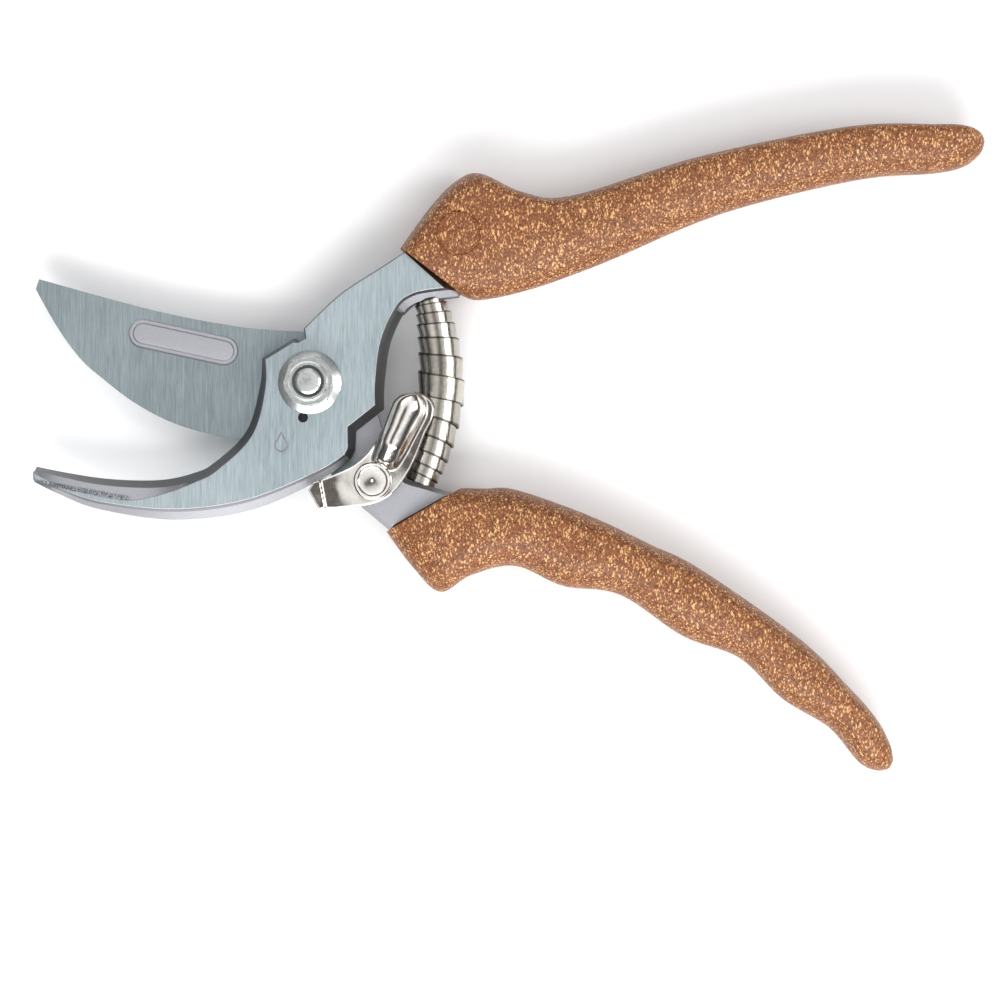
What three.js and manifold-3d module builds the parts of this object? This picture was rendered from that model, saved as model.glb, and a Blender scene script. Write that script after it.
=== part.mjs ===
// Bypass pruning shears, lying open on their back.
// Millimetres. The pivot axis is Z and passes through the origin; +X runs towards the
// handles, +Y towards the cutting blade, and Z = 0 is the outer face of the pivot
// bolt's head, which is level with the lowest line of both grips.
import * as THREE from "three";
import { mergeVertices } from "three/addons/utils/BufferGeometryUtils.js";
import Module from "manifold-3d";

const wasm = await Module();
wasm.setup();

// ---------------------------------------------------------------- driving dimensions
const GRIP_THICKNESS = 17;
const GRIP_MIDDLE = GRIP_THICKNESS / 2;
const BLADE_BACK = 4.5; // back face of the cutting blade and its lever
const BLADE_FRONT = 8.5; // face of the blade that slides along the hook
const SHEAR_GAP = 0.1;
const HOOK_BACK = BLADE_FRONT + SHEAR_GAP;
const HOOK_FRONT = 13.4;
const ARM_TOP = 12.8; // raised part of the blade lever that carries the latch
const TANG_BACK = 6.2;
const TANG_FRONT = 11.2;
const FIT = 0.3; // gap between a grip and its tang

const BOLT_RADIUS = 3;
const BOLT_HEAD = { radius: 6.6, height: 2.6 };
const BOLT_TOP = 20.2;
const BUSH_RADIUS = 4;
const BORE_CLEARANCE = 0.1;
const NUT = { flange: 6.85, flangeHeight: 1.5, acrossFlats: 10, height: 6.2, collar: 4.3 };

const LATCH_PIVOT = [13.7, -21.4];
const LATCH_BACK = 13.7;
const LATCH_THICKNESS = 1.6;
const LATCH_FRONT = LATCH_BACK + LATCH_THICKNESS;
const LATCH_BAR_TOP = 19.2;
const RIVET = { shank: 2, head: 4.15, headHeight: 1.9, backHead: 3.4, backHeight: 1.1 };

const SPRING_AXIS_HEIGHT = 8.6;
const SPRING_TURNS = 13;
const SPRING = { endRadius: 3, middleRadius: 4.9, boreRadius: 1.9 };
const SEAT_PIN = { radius: 1.5, inLever: 3, inSpring: 4 };

const OIL_HOLE = { at: [-1.5, -7.6], radius: 1.1, depth: 2.2 };
const BADGE = { from: [-36.8, 10.9], to: [-19.2, 7.1], radius: 3.2, depth: 0.5 };
const EDGE_BEVEL = { width: 6.5, land: 0.35 };

// ---------------------------------------------------------------- materials
const finish = (color, roughness, metalness) =>
  new THREE.MeshStandardMaterial({ color, roughness, metalness });
const groundSteel = () => finish(0x9aa5ab, 0.35, 1);
const nickel = () => finish(0xcfc8c0, 0.12, 1);
const zinc = () => finish(0xc4cccb, 0.3, 1);
const corkCompound = () => finish(0xa5622f, 0.75, 0);
const nylon = () => finish(0x44474b, 0.6, 0);
const bronze = () => finish(0xa9793c, 0.4, 1);

// ---------------------------------------------------------------- solids
// A closed three.js geometry as a solid, turned outside out where its faces point in.
function solid(geometry) {
  geometry.deleteAttribute("normal");
  geometry.deleteAttribute("uv");
  const merged = mergeVertices(geometry, 1e-4);
  const corners = new Uint32Array(merged.index.array);
  const build = () =>
    new wasm.Manifold(
      new wasm.Mesh({
        numProp: 3,
        vertProperties: merged.attributes.position.array,
        triVerts: corners,
      }),
    );
  const made = build();
  if (made.volume() > 0) return made;
  for (let i = 0; i < corners.length; i += 3) {
    [corners[i + 1], corners[i + 2]] = [corners[i + 2], corners[i + 1]];
  }
  return build();
}

const root = new THREE.Group();

// Adds a solid to the assembly as a named mesh.
function addPart(name, made, material) {
  const { vertProperties, triVerts } = made.getMesh();
  const geometry = new THREE.BufferGeometry();
  geometry.setAttribute("position", new THREE.BufferAttribute(vertProperties, 3));
  geometry.setIndex(new THREE.BufferAttribute(triVerts, 1));
  const faceted = geometry.toNonIndexed();
  faceted.computeVertexNormals();
  const mesh = new THREE.Mesh(faceted, material);
  mesh.name = name;
  root.add(mesh);
}

// Points on a smooth curve through the given ones.
function bend(points, steps = 3) {
  const curve = new THREE.SplineCurve(points.map(([x, y]) => new THREE.Vector2(x, y)));
  return curve.getPoints(steps * (points.length - 1)).map((p) => [p.x, p.y]);
}

// A closed outline from runs of points, without the points that two runs share.
function outline(...runs) {
  const points = [];
  for (const [x, y] of runs.flat()) {
    const [lastX, lastY] = points.at(-1) ?? [Infinity, Infinity];
    if (Math.hypot(x - lastX, y - lastY) > 0.05) points.push([x, y]);
  }
  return new THREE.Shape(points.map(([x, y]) => new THREE.Vector2(x, y)));
}

function plate(shape, back, front) {
  const geometry = new THREE.ExtrudeGeometry(shape, {
    depth: front - back,
    bevelEnabled: false,
    curveSegments: 16,
  });
  return solid(geometry.translate(0, 0, back));
}

function slab(back, front) {
  const size = 400;
  const box = new THREE.BoxGeometry(size, size, front - back);
  return solid(box.translate(0, 0, (back + front) / 2));
}

// A plate whose front edge slopes in by `inset` over `drop`, as a forging's draft does.
function draftedPlate(shape, back, front, inset, drop) {
  const geometry = new THREE.ExtrudeGeometry(shape, {
    depth: front - back,
    bevelSize: inset,
    bevelOffset: -inset,
    bevelThickness: drop,
    bevelSegments: 1,
    curveSegments: 16,
  });
  geometry.translate(0, 0, back - drop);
  return solid(geometry).intersect(slab(back, front + 1));
}

function disc(radius, back, front, [x, y] = [0, 0], sides = 32) {
  const geometry = new THREE.CylinderGeometry(radius, radius, front - back, sides);
  return solid(geometry.rotateX(Math.PI / 2).translate(x, y, (back + front) / 2));
}

// A turned piece about Z from a closed profile of [radius, height] points.
function turned(profile, [x, y] = [0, 0], sides = 32) {
  const points = [...profile, profile[0]].map(([r, h]) => new THREE.Vector2(r, h));
  const geometry = new THREE.LatheGeometry(points, sides);
  return solid(geometry.rotateX(Math.PI / 2).translate(x, y, 0));
}

function ring(inner, outer, back, front, at) {
  return disc(outer, back, front, at).subtract(disc(inner, back - 1, front + 1, at));
}

// The skin between rings of equal length, closed at both ends.
function loft(rings) {
  const sides = rings[0].length;
  const centre = (points) =>
    points.reduce((sum, p) => sum.add(p), new THREE.Vector3()).divideScalar(sides);
  const points = [...rings.flat(), centre(rings[0]), centre(rings.at(-1))];
  const firstCentre = points.length - 2;
  const lastCentre = points.length - 1;
  const index = [];
  for (let i = 0; i < sides; i++) {
    const next = (i + 1) % sides;
    for (let r = 0; r < rings.length - 1; r++) {
      const [a, b] = [r * sides + i, r * sides + next];
      index.push(a, b, b + sides, a, b + sides, a + sides);
    }
    const last = (rings.length - 1) * sides;
    index.push(firstCentre, next, i, lastCentre, last + i, last + next);
  }
  const geometry = new THREE.BufferGeometry().setFromPoints(points);
  geometry.setIndex(index);
  return solid(geometry);
}

// A straight rod from one point to another.
function rod(from, to, radius, sides = 16) {
  const along = to.clone().sub(from);
  const geometry = new THREE.CylinderGeometry(radius, radius, along.length(), sides);
  const turn = new THREE.Quaternion().setFromUnitVectors(
    new THREE.Vector3(0, 1, 0),
    along.clone().normalize(),
  );
  const middle = from.clone().add(to).divideScalar(2);
  return solid(geometry.applyQuaternion(turn).translate(middle.x, middle.y, middle.z));
}

const join = (...solids) => solids.reduce((sum, piece) => sum.add(piece));

// ---------------------------------------------------------------- outlines
// The shoulders are where a lever's neck stops against the mouth of its grip.
const UPPER_SHOULDER = { outer: [19.6, 28.1], inner: [32.2, 18.9] };
const LOWER_SHOULDER = { outer: [16.6, -31.6], inner: [30.3, -23.8] };

const HOOK_THROAT = bend([
  [-60.4, -18.1],
  [-46, -20.7],
  [-31.8, -21],
  [-21.4, -17.5],
  [-14.2, -10.5],
  [-11.3, -1.1],
  [-10.7, 5.5],
]);
const HOOK_BELLY = bend([
  [8.6, -16.6],
  [2, -21.1],
  [-13.3, -27.7],
  [-29.6, -29.8],
  [-46, -27.5],
  [-60.6, -21.4],
]);
const NECK_INNER = bend([
  [25.9, 18.1],
  [22.5, 17.2],
  [20.1, 15],
  [17.2, 8.3],
  [16, -0.4],
  [15.9, -5.7],
]);
const LATCH_NOTCH = [
  [15.9, -5.7],
  [9.8, -10.5],
  [9.6, -14.6],
];
const NECK_OUTER = [
  [-10.7, 5.5],
  [-3.3, 9.7],
  [-1.7, 11.8],
  [6.3, 19.4],
  [15, 25.1],
  UPPER_SHOULDER.outer,
];

const BLADE_EDGE = bend([
  [-60.4, 20.9],
  [-54.7, 10.9],
  [-46, 1.3],
  [-32.9, -7.5],
  [-15.5, -12.3],
]);
const BLADE_HEEL = bend([
  [-15.5, -12.3],
  [-5.7, -14],
  [3.1, -19],
  [11.3, -27.2],
  LOWER_SHOULDER.outer,
]);
const BLADE_SPINE = bend([
  [-1.7, 11.3],
  [-15.5, 12.3],
  [-35.1, 16.1],
  [-59.7, 22.9],
]);
const BLADE_HEAD = bend([
  [14.6, -7.2],
  [11.8, 0.7],
  [5.9, 9.4],
  [-1.7, 11.3],
]);
const BLADE_ARM_INNER = bend([
  LOWER_SHOULDER.inner,
  [24.9, -22.2],
  [20.5, -20.7],
  [17.7, -17.2],
  [14.6, -7.2],
]);

const UPPER_TANG = outline(
  bend([
    [22.2, 26.2],
    [34, 34.5],
    [56, 35.5],
    [82, 44],
    [116, 52.5],
  ]),
  bend([
    [117, 47.5],
    [84, 38.5],
    [58, 29],
    [40, 26.5],
    [29.6, 20.8],
  ]),
  [
    [27, 17.8],
    [19, 23],
  ],
);
const LOWER_TANG = outline(
  bend([
    [27.7, -25.3],
    [40, -27.8],
    [62, -34.5],
    [88, -47.5],
    [110, -65.5],
  ]),
  bend([
    [106, -67],
    [86, -52.5],
    [60, -41],
    [42, -35.5],
    [19.6, -29.9],
  ]),
  [
    [18, -27],
    [26, -22.8],
  ],
);

const UPPER_GRIP = {
  back: [
    [19.4, 29.4],
    [25.8, 38.2],
    [31.4, 44],
    [36.8, 45.8],
    [46.2, 41.7],
    [57, 41],
    [84.8, 49.5],
    [117.1, 56],
    [136, 56.6],
    [142.5, 56.2],
    [145.8, 54.8],
    [147, 52.9],
  ],
  belly: [
    [32.9, 19.2],
    [36, 18.2],
    [42, 19],
    [49.5, 21],
    [56.9, 23.6],
    [66.3, 27.3],
    [89.8, 37.1],
    [119, 44.4],
    [136, 45.9],
    [142.5, 47.3],
    [146, 50],
    [147, 52.5],
  ],
};
const LOWER_GRIP = {
  back: [
    [32.7, -22.9],
    [38, -23],
    [43.4, -23],
    [52.5, -25.8],
    [63, -29.9],
    [74, -35.2],
    [84.8, -40.5],
    [106.6, -55.8],
    [117.5, -66.5],
    [124, -74.5],
    [127.2, -83.6],
  ],
  belly: [
    [16.4, -32.4],
    [22, -40],
    [28.1, -45.6],
    [35, -41.9],
    [44.5, -39.9],
    [55, -44.3],
    [67.4, -46.2],
    [81.1, -55.2],
    [93.5, -60],
    [103, -69],
    [113.1, -75.2],
    [120.5, -83.8],
    [126.6, -84.6],
  ],
};

const LATCH_PLATE = outline(
  bend([
    [0.9, -21.6],
    [9.6, -17.9],
    [15.1, -11.9],
    [19.2, -3.9],
    [22.7, -2],
    [26.8, -5.9],
    [24.9, -11.3],
    [20.4, -21.1],
    [13.6, -26.4],
    [2, -27.6],
  ]),
  [[-0.4, -23.3]],
);

// ---------------------------------------------------------------- hook lever
const hookOutline = outline(
  HOOK_THROAT,
  NECK_OUTER,
  [UPPER_SHOULDER.inner],
  NECK_INNER,
  LATCH_NOTCH,
  HOOK_BELLY,
);
const hookArmBack = outline([
  [25.9, 18.1],
  [20.1, 15],
  [10, 21.9],
  [15, 25.1],
  UPPER_SHOULDER.outer,
  UPPER_SHOULDER.inner,
]);
const springTop = new THREE.Vector3(26.1, 17.3, SPRING_AXIS_HEIGHT);
const springBottom = new THREE.Vector3(24.1, -21.2, SPRING_AXIS_HEIGHT);
const springBulge = new THREE.Vector3(31.7, -2, SPRING_AXIS_HEIGHT);
const springLine = new THREE.QuadraticBezierCurve3(springTop, springBulge, springBottom);

// The pin that centres one end of the spring, or its hole when grown by a clearance.
function seatPin(end, grow = 0) {
  const outward = springLine.getTangent(end).multiplyScalar(end === 0 ? -1 : 1);
  const seat = springLine.getPoint(end);
  const buried = seat.clone().addScaledVector(outward, SEAT_PIN.inLever + grow);
  const tip = seat.clone().addScaledVector(outward, -SEAT_PIN.inSpring);
  return rod(buried, tip, SEAT_PIN.radius + grow);
}

const pivotBore = disc(BUSH_RADIUS + BORE_CLEARANCE, 0, BOLT_TOP);
const oilHole = disc(OIL_HOLE.radius, HOOK_FRONT - OIL_HOLE.depth, BOLT_TOP, OIL_HOLE.at, 20);

const hookLever = join(
  draftedPlate(hookOutline, HOOK_BACK, HOOK_FRONT, 1.1, 3),
  plate(hookArmBack, BLADE_BACK + SHEAR_GAP, HOOK_BACK + 1),
  plate(UPPER_TANG, TANG_BACK, TANG_FRONT),
)
  .subtract(pivotBore)
  .subtract(oilHole)
  .subtract(seatPin(0, SHEAR_GAP));
addPart("hook_lever", hookLever, groundSteel());

// ---------------------------------------------------------------- blade lever
// What the grinding of the cutting edge takes off the back of the blade.
function edgeGrinding() {
  const curve = new THREE.SplineCurve(BLADE_EDGE.map(([x, y]) => new THREE.Vector2(x, y)));
  const reach = 4; // the cutter runs this far past the edge
  const rise = BLADE_FRONT - EDGE_BEVEL.land - BLADE_BACK;
  const slope = rise / EDGE_BEVEL.width;
  const low = BLADE_BACK - 1;
  const steps = 20;
  const rings = [];
  for (let i = 0; i <= steps; i++) {
    const along = curve.getTangent(i / steps);
    const out = new THREE.Vector2(along.y, -along.x);
    if (out.dot(new THREE.Vector2(1, 1)) > 0) out.negate();
    const edge = curve.getPoint(i / steps);
    if (i === 0) edge.addScaledVector(along, -reach);
    const at = (offset, height) =>
      new THREE.Vector3(edge.x + out.x * offset, edge.y + out.y * offset, height);
    rings.push([
      at(reach, low),
      at(reach, BLADE_BACK + rise + reach * slope),
      at(-EDGE_BEVEL.width - 1 / slope, low),
    ]);
  }
  return loft(rings);
}

// A slot with round ends, as an outline.
function slotOutline([x1, y1], [x2, y2], radius) {
  const shape = new THREE.Shape();
  const along = Math.atan2(y2 - y1, x2 - x1);
  shape.absarc(x2, y2, radius, along - Math.PI / 2, along + Math.PI / 2);
  shape.absarc(x1, y1, radius, along + Math.PI / 2, along + (3 * Math.PI) / 2);
  return shape;
}

const bladeOutline = outline(
  BLADE_EDGE,
  BLADE_HEEL,
  [LOWER_SHOULDER.inner],
  BLADE_ARM_INNER,
  BLADE_HEAD,
  BLADE_SPINE,
);
const bladeArmRaised = outline([
  [9.6, -23.8],
  [11.3, -27.2],
  LOWER_SHOULDER.outer,
  LOWER_SHOULDER.inner,
  [24.9, -22.2],
  [20.5, -20.7],
  [17.7, -17.2],
]);
const badgeRecess = plate(
  slotOutline(BADGE.from, BADGE.to, BADGE.radius),
  BLADE_FRONT - BADGE.depth,
  BOLT_TOP,
);
const latchBore = disc(RIVET.shank + BORE_CLEARANCE, 0, BOLT_TOP, LATCH_PIVOT, 24);
const bladeLever = join(
  plate(bladeOutline, BLADE_BACK, BLADE_FRONT).subtract(edgeGrinding()),
  plate(bladeArmRaised, BLADE_FRONT - 1, ARM_TOP),
  disc(4.8, BLADE_FRONT - 1, ARM_TOP, LATCH_PIVOT),
  plate(LOWER_TANG, TANG_BACK, TANG_FRONT),
)
  .subtract(pivotBore)
  .subtract(latchBore)
  .subtract(badgeRecess)
  .subtract(seatPin(1, SHEAR_GAP));
addPart("blade_lever", bladeLever, groundSteel());

// ---------------------------------------------------------------- grips
// A grip's body: rounded sections that span from its back line to its belly line.
const END_ROUNDING = 8; // length over which a grip's thickness rounds off at its end
function gripBody({ back, belly }, steps = 36, sides = 20) {
  const curve = (points) =>
    new THREE.SplineCurve(points.map(([x, y]) => new THREE.Vector2(x, y)));
  const [backCurve, bellyCurve] = [curve(back), curve(belly)];
  const squareness = 0.8; // 1 is an ellipse, smaller is fuller
  const swell = (angle) => {
    const [c, s] = [Math.cos(angle), Math.sin(angle)];
    const full = (v) => Math.sign(v) * Math.abs(v) ** squareness;
    return [full(c), full(s)];
  };
  const end = backCurve.getPoint(1).add(bellyCurve.getPoint(1));
  const rings = [];
  for (let i = 0; i <= steps; i++) {
    const t = i / steps;
    const a = backCurve.getPoint(t);
    const b = bellyCurve.getPoint(t);
    const left = a.clone().add(b).sub(end).length() / 2;
    const tail = Math.sqrt(Math.max(0, 1 - Math.max(0, 1 - left / END_ROUNDING) ** 2));
    const mouth = Math.min(1, 0.86 + (t / 0.06) * 0.14);
    const depth = (GRIP_THICKNESS / 2) * mouth * (1 - 0.22 * t) * Math.max(tail, 0.12);
    const ringPoints = [];
    for (let k = 0; k < sides; k++) {
      const [across, up] = swell((k / sides) * 2 * Math.PI);
      const mix = (1 - across) / 2;
      ringPoints.push(
        new THREE.Vector3(
          a.x + (b.x - a.x) * mix,
          a.y + (b.y - a.y) * mix,
          GRIP_MIDDLE + depth * up,
        ),
      );
    }
    rings.push(ringPoints);
  }
  return loft(rings);
}

// The tang's pocket is the tang's own section, grown by the fit.
function tangPocket(shape) {
  const geometry = new THREE.ExtrudeGeometry(shape, {
    depth: TANG_FRONT - TANG_BACK,
    bevelSize: FIT,
    bevelThickness: FIT,
    bevelSegments: 1,
  });
  return solid(geometry.translate(0, 0, TANG_BACK));
}

const UPPER_POCKET = tangPocket(UPPER_TANG);
const LOWER_POCKET = tangPocket(LOWER_TANG);
addPart("upper_grip", gripBody(UPPER_GRIP).subtract(UPPER_POCKET), corkCompound());
addPart("lower_grip", gripBody(LOWER_GRIP).subtract(LOWER_POCKET), corkCompound());

// ---------------------------------------------------------------- pivot
const nutBack = HOOK_FRONT + SHEAR_GAP;
const nutTop = nutBack + NUT.height;
const washerFront = BLADE_BACK - SHEAR_GAP;

const bolt = join(
  turned([
    [0, 0],
    [BOLT_HEAD.radius - 1.2, 0],
    [BOLT_HEAD.radius, 1],
    [BOLT_HEAD.radius, BOLT_HEAD.height],
    [0, BOLT_HEAD.height],
  ]),
  turned([
    [0, BOLT_HEAD.height - 1],
    [BOLT_RADIUS, BOLT_HEAD.height - 1],
    [BOLT_RADIUS, BOLT_TOP - 0.5],
    [BOLT_RADIUS - 0.5, BOLT_TOP],
    [0, BOLT_TOP],
  ]),
);
addPart("pivot_bolt", bolt, zinc());

const springWasher = turned([
  [BOLT_RADIUS + 0.2, BOLT_HEAD.height + 0.1],
  [5.9, BOLT_HEAD.height + 0.7],
  [5.9, washerFront],
  [BOLT_RADIUS + 0.2, washerFront - 0.6],
]);
addPart("pivot_spring_washer", springWasher, zinc());

const bush = ring(
  BOLT_RADIUS + BORE_CLEARANCE,
  BUSH_RADIUS,
  BLADE_BACK + SHEAR_GAP,
  HOOK_FRONT - SHEAR_GAP,
);
addPart("pivot_bush", bush, bronze());

const hexRadius = NUT.acrossFlats / 2 / Math.cos(Math.PI / 6);
const lockGroove = { radius: 3.7, back: nutTop - 1.6, front: nutTop - 0.5 };
const nut = join(
  disc(hexRadius, nutBack + 1, nutTop - 0.9, [0, 0], 6),
  turned([
    [0, nutBack],
    [NUT.flange, nutBack],
    [NUT.flange, nutBack + 0.7],
    [hexRadius - 0.6, nutBack + NUT.flangeHeight + 0.4],
    [0, nutBack + NUT.flangeHeight + 0.4],
  ]),
  turned([
    [0, nutTop - 1.4],
    [NUT.collar, nutTop - 1.4],
    [NUT.collar, nutTop - 0.3],
    [NUT.collar - 0.4, nutTop],
    [0, nutTop],
  ]),
)
  .subtract(disc(BOLT_RADIUS + BORE_CLEARANCE, nutBack - 1, nutTop + 1))
  .subtract(disc(lockGroove.radius, lockGroove.back, nutTop + 1));
addPart("pivot_nut", nut, zinc());

const lockRing = ring(
  BOLT_RADIUS + BORE_CLEARANCE,
  lockGroove.radius - BORE_CLEARANCE,
  lockGroove.back + SHEAR_GAP,
  lockGroove.front,
);
addPart("nut_lock_ring", lockRing, nylon());

// ---------------------------------------------------------------- latch
const barOutline = slotOutline([17, -14.5], [22.6, -5.8], 3.5);
// The lip reaches down beside the hook lever and drops into its notch when shut.
const lip = loft(
  [10, LATCH_FRONT - 0.2].map((height) =>
    [
      [1, -25.5],
      [2.2, -25.1],
      [3.1, -27.2],
      [1.7, -27.5],
    ].map(([x, y]) => new THREE.Vector3(x, y, height)),
  ),
);
const latch = join(
  plate(LATCH_PLATE, LATCH_BACK, LATCH_FRONT),
  draftedPlate(barOutline, LATCH_FRONT - 0.5, LATCH_BAR_TOP, 1.4, 1.6),
  lip,
).subtract(latchBore);
addPart("latch_lever", latch, nickel());

addPart(
  "latch_spring_washer",
  ring(RIVET.shank + 0.2, 4.3, ARM_TOP + SHEAR_GAP, LATCH_BACK - SHEAR_GAP, LATCH_PIVOT),
  zinc(),
);

const rivetTop = LATCH_FRONT + SHEAR_GAP + RIVET.headHeight;
const rivet = join(
  turned(
    [
      [0, LATCH_FRONT + SHEAR_GAP],
      [RIVET.head - 0.3, LATCH_FRONT + SHEAR_GAP],
      [RIVET.head, rivetTop - 0.8],
      [RIVET.head - 0.6, rivetTop],
      [0, rivetTop - 0.7],
    ],
    LATCH_PIVOT,
  ),
  disc(RIVET.shank, BLADE_BACK - 1, LATCH_FRONT + 1, LATCH_PIVOT, 24),
  turned(
    [
      [0, BLADE_BACK - SHEAR_GAP - RIVET.backHeight],
      [RIVET.backHead - 0.8, BLADE_BACK - SHEAR_GAP - RIVET.backHeight],
      [RIVET.backHead, BLADE_BACK - SHEAR_GAP],
      [0, BLADE_BACK - SHEAR_GAP],
    ],
    LATCH_PIVOT,
  ),
);
addPart("latch_rivet", rivet, nickel());

// ---------------------------------------------------------------- spring
// A tube about the spring's curved centre line, from rings of [place, radius].
function tubeAlong(stations, sides = 14) {
  const up = new THREE.Vector3(0, 0, 1);
  return loft(
    stations.map(([t, radius]) => {
      const centre = springLine.getPoint(t);
      const across = springLine.getTangent(t).cross(up);
      return Array.from({ length: sides }, (_, k) => {
        const angle = (k / sides) * 2 * Math.PI;
        return centre
          .clone()
          .addScaledVector(across, radius * Math.cos(angle))
          .addScaledVector(up, radius * Math.sin(angle));
      });
    }),
  );
}

// The strip's turns telescope, each one narrower than the next towards both ends.
const turnStations = [];
for (let turn = 0; turn < SPRING_TURNS; turn++) {
  const fromMiddle = Math.abs((2 * turn) / (SPRING_TURNS - 1) - 1);
  const radius = SPRING.middleRadius - (SPRING.middleRadius - SPRING.endRadius) * fromMiddle;
  const step = 0.02 / SPRING_TURNS;
  turnStations.push([turn / SPRING_TURNS + step, radius]);
  turnStations.push([(turn + 1) / SPRING_TURNS - step, radius]);
}
const springBore = tubeAlong(
  Array.from({ length: 9 }, (_, i) => [i / 8, SPRING.boreRadius]),
);
const boreEnds = [0, 1].map((end) => {
  const outward = springLine.getTangent(end).multiplyScalar(end === 0 ? -1 : 1);
  const seat = springLine.getPoint(end);
  return rod(
    seat.clone().addScaledVector(outward, 1),
    seat.clone().addScaledVector(outward, -1),
    SPRING.boreRadius,
  );
});
const spring = tubeAlong(turnStations).subtract(springBore).subtract(join(...boreEnds));
addPart("volute_spring", spring, nickel());

addPart("upper_spring_pin", seatPin(0), zinc());
addPart("lower_spring_pin", seatPin(1), zinc());

export default root;
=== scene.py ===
# %% [markdown]
# # Pruning shears, cell by cell
# The shears lie open on their back: a hook lever in front, a blade lever behind it, one
# pivot through both, a volute spring between the necks and a thumb latch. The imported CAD
# model gives the places and the motion. This script makes the surfaces that are seen.

# %% Load the fixed frame
import math

import bmesh
import bpy
import numpy as np
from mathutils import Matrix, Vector, bvhtree


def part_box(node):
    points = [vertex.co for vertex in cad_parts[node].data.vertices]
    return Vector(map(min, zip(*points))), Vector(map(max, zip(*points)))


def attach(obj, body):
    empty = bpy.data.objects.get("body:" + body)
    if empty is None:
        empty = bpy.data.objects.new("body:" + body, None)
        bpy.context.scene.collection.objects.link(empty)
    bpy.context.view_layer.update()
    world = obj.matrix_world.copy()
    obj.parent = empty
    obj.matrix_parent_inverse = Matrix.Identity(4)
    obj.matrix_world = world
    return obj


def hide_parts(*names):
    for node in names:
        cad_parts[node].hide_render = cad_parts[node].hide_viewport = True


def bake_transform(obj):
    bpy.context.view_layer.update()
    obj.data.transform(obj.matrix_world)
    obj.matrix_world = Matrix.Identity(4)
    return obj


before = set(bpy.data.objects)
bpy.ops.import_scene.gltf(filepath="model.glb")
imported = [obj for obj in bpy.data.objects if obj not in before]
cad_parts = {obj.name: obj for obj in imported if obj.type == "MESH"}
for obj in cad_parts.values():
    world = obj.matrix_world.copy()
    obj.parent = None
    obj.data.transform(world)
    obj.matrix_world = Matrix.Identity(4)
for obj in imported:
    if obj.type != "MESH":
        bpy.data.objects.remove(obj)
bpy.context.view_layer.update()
MM = 0.001

# %% [markdown]
# ## Camera, floor and light
# A tool like this is shown from straight above with a long lens, so that its outline is
# true. Ground steel shows whatever lies above it and polished nickel shows everything, so
# the light is a bright ceiling with darker walls: flat faces go pale grey, and round
# plated parts get the black and white bands that make them look wet.

# %% Camera above the middle of the tool
FRAME_WIDTH = 0.218  # how much of the floor the lens takes in
LENS = 100
SENSOR = 36
nut_low, nut_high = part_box("pivot_nut")
pivot = (nut_low + nut_high) / 2
aim = Vector((pivot.x + 0.0412, pivot.y - 0.0255, 0.010))

camera_data = bpy.data.cameras.new("camera")
camera_data.lens = LENS
camera_data.sensor_width = SENSOR
camera = bpy.data.objects.new("camera", camera_data)
camera.location = aim + Vector((0, 0, FRAME_WIDTH * LENS / SENSOR))
bpy.context.scene.collection.objects.link(camera)
bpy.context.scene.camera = camera
print("camera height, mm:", round(camera.location.z / MM))

# %% Soft boxes
bpy.context.scene.view_settings.view_transform = "Standard"


def soft_box(name, place, size, watts):
    """An area light that faces the middle of the tool."""
    data = bpy.data.lights.new(name, "AREA")
    data.shape = "RECTANGLE"
    data.size, data.size_y = size
    data.energy = watts
    light = bpy.data.objects.new(name, data)
    light.location = place
    light.rotation_mode = "QUATERNION"
    light.rotation_quaternion = (Vector(place) - aim).to_track_quat("Z", "Y")
    bpy.context.scene.collection.objects.link(light)


soft_box("key", (0.1, -0.55, 0.5), (0.8, 0.4), 6.0)
soft_box("fill", (-0.15, 0.55, 0.6), (0.8, 0.4), 1.1)
soft_box("side", (0.65, 0.0, 0.5), (0.3, 0.5), 2.0)
print("soft boxes:", ", ".join(light.name for light in bpy.data.lights))

# %% [markdown]
# ## A small language for nodes
# Node trees are easier to read as sums. `Value` wraps one socket, so that
# `1 - mask * 0.5` builds the Math nodes by itself, and `Tree.add` makes any other node
# from its type, its settings and what goes into its sockets.


# %% Sums on sockets
class Value:
    """One output socket that sums and products can be built on."""

    def __init__(self, tree, socket):
        self.tree = tree
        self.socket = socket

    def math(self, operation, *others, flip=False):
        values = [self, *others]
        if flip:
            values.reverse()
        return self.tree.add("ShaderNodeMath", {"operation": operation}, *values)[0]

    def __add__(self, other):
        return self.math("ADD", other)

    def __sub__(self, other):
        return self.math("SUBTRACT", other)

    def __mul__(self, other):
        return self.math("MULTIPLY", other)

    def __truediv__(self, other):
        return self.math("DIVIDE", other)

    def __rsub__(self, other):
        return self.math("SUBTRACT", other, flip=True)

    __radd__ = __add__


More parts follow.
